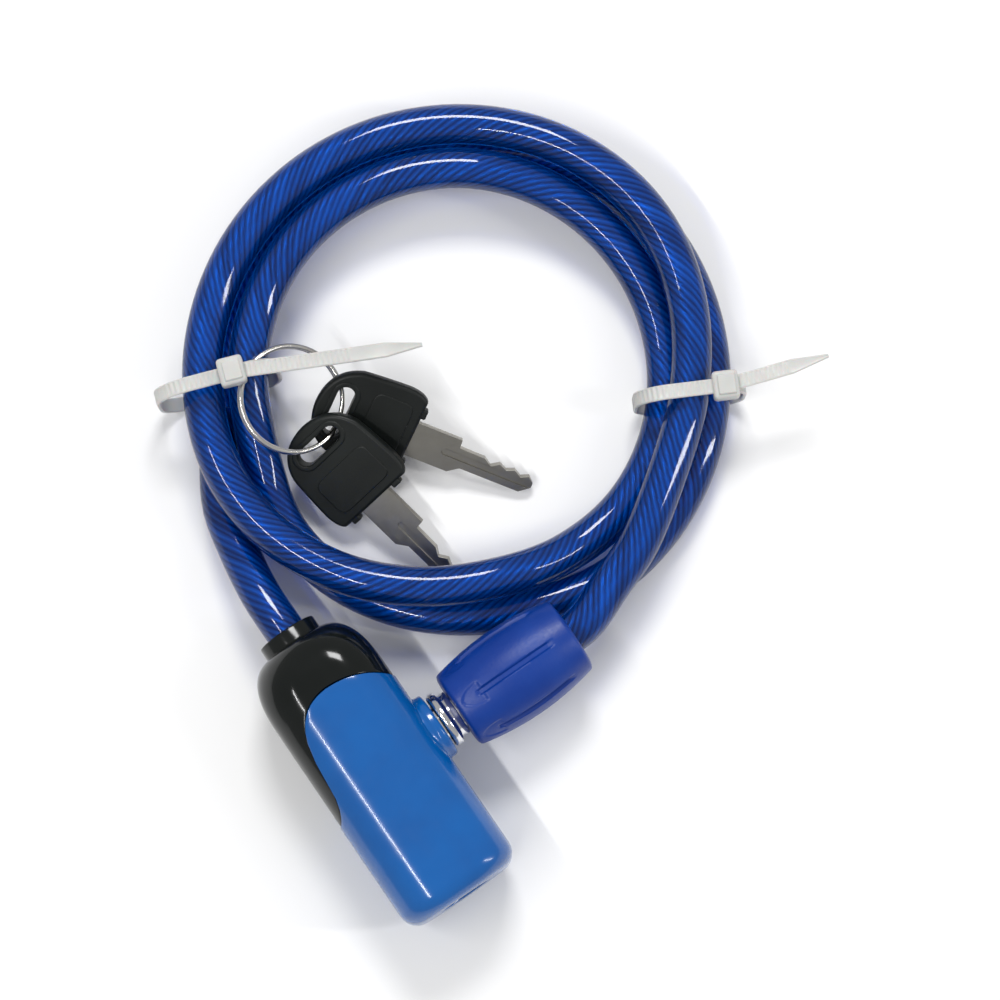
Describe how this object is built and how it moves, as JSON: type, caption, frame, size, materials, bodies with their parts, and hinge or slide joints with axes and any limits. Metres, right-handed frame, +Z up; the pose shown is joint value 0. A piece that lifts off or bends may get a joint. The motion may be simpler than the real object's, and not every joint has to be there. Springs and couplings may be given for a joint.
{
  "type": "cable lock",
  "caption": "Key-operated bicycle cable lock: clear sleeved steel cable coiled and tied, lock body, pin plug with grip, and two keys on a split ring.",
  "frame": {"origin": "on the flat underside of the lock body, under the point where the locking pin's axis crosses the key cylinder's axis", "axes": "+X along the locking pin from the lock body towards the grip, +Y along the key cylinder from the key end towards the cable collar, +Z up from the surface that the lock lies on"},
  "size_m": [0.1622, 0.1731, 0.031],
  "materials": {
    "shell_blue": "glossy",
    "hood_black": "glossy",
    "grip_blue": "semi-matte, fine grain",
    "key_black": "fine matte grain",
    "sleeve_pvc": "clear and glossy",
    "rope_steel": "laid galvanised wire",
    "nylon_white": "natural, slightly translucent",
    "chrome": "polished",
    "nickel": "fine grained nickel plate",
    "steel": "bright",
    "zinc": "die cast",
    "brass": "turned"
  },
  "bodies": {
    "coil": {"cable_sleeve": "sleeve_pvc", "cable_sleeve_lead": "sleeve_pvc", "wire_rope": "rope_steel", "wire_rope_lead": "rope_steel", "cable_tie_left": "nylon_white", "cable_tie_right": "nylon_white", "plug_ferrule": "steel"},
    "plug": {"locking_pin": "chrome", "chrome_flange": "chrome", "plug_grip": "grip_blue", "swivel_washer": "steel"},
    "lock_body": {"body_shell": "shell_blue", "black_hood": "hood_black", "lock_case": "zinc", "socket_bush": "steel", "body_ferrule": "steel", "ferrule_pin": "steel", "cylinder_stator": "brass", "latch_spring": "steel"},
    "cylinder": {"key_cylinder": "brass", "cam": "steel", "wafer_1": "brass", "wafer_2": "brass", "wafer_3": "brass", "wafer_4": "brass", "wafer_5": "brass", "wafer_spring_1": "steel", "wafer_spring_2": "steel", "wafer_spring_3": "steel", "wafer_spring_4": "steel", "wafer_spring_5": "steel"},
    "latch": {"latch_plate": "steel"},
    "ring": {"split_ring": "steel"},
    "key_a": {"key_a_head": "key_black", "key_a_blade": "nickel"},
    "key_b": {"key_b_head": "key_black", "key_b_blade": "nickel"}
  },
  "joints": [
    {"name": "body_off_pin", "type": "slide", "parent": "coil", "child": "lock_body", "axis": [-1, 0, 0], "range_m": [0, 0.0215], "deforming": ["cable_sleeve_lead", "wire_rope_lead"]},
    {"name": "plug_swivel", "type": "hinge", "parent": "coil", "child": "plug", "pos_m": [0, 0, 0.0155], "axis": [1, 0, 0], "continuous": true},
    {"name": "cylinder_turn", "type": "hinge", "parent": "lock_body", "child": "cylinder", "pos_m": [0, 0, 0.0155], "axis": [0, -1, 0], "range_deg": [0, 90]},
    {"name": "latch_slide", "type": "slide", "parent": "lock_body", "child": "latch", "axis": [0, 0, 1], "range_m": [0, 0.00161]},
    {"name": "ring_lift", "type": "hinge", "parent": "coil", "child": "ring", "pos_m": [0.023, 0.0939, 0.0227], "axis": [-0.6347, -0.7727, 0], "range_deg": [0, 4]},
    {"name": "key_a_lift", "type": "hinge", "parent": "ring", "child": "key_a", "pos_m": [0.0414, 0.0776, 0.0145], "axis": [-0.8131, -0.5821, 0], "range_deg": [0, 10]},
    {"name": "key_b_sweep", "type": "hinge", "parent": "ring", "child": "key_b", "pos_m": [0.0327, 0.0731, 0.014], "axis": [0, 0, 1], "range_deg": [0, 8]}
  ],
  "couplings": [
    {"joint": "latch_slide", "follows": "cylinder_turn", "m_per_rad": 0.00102}
  ]
}
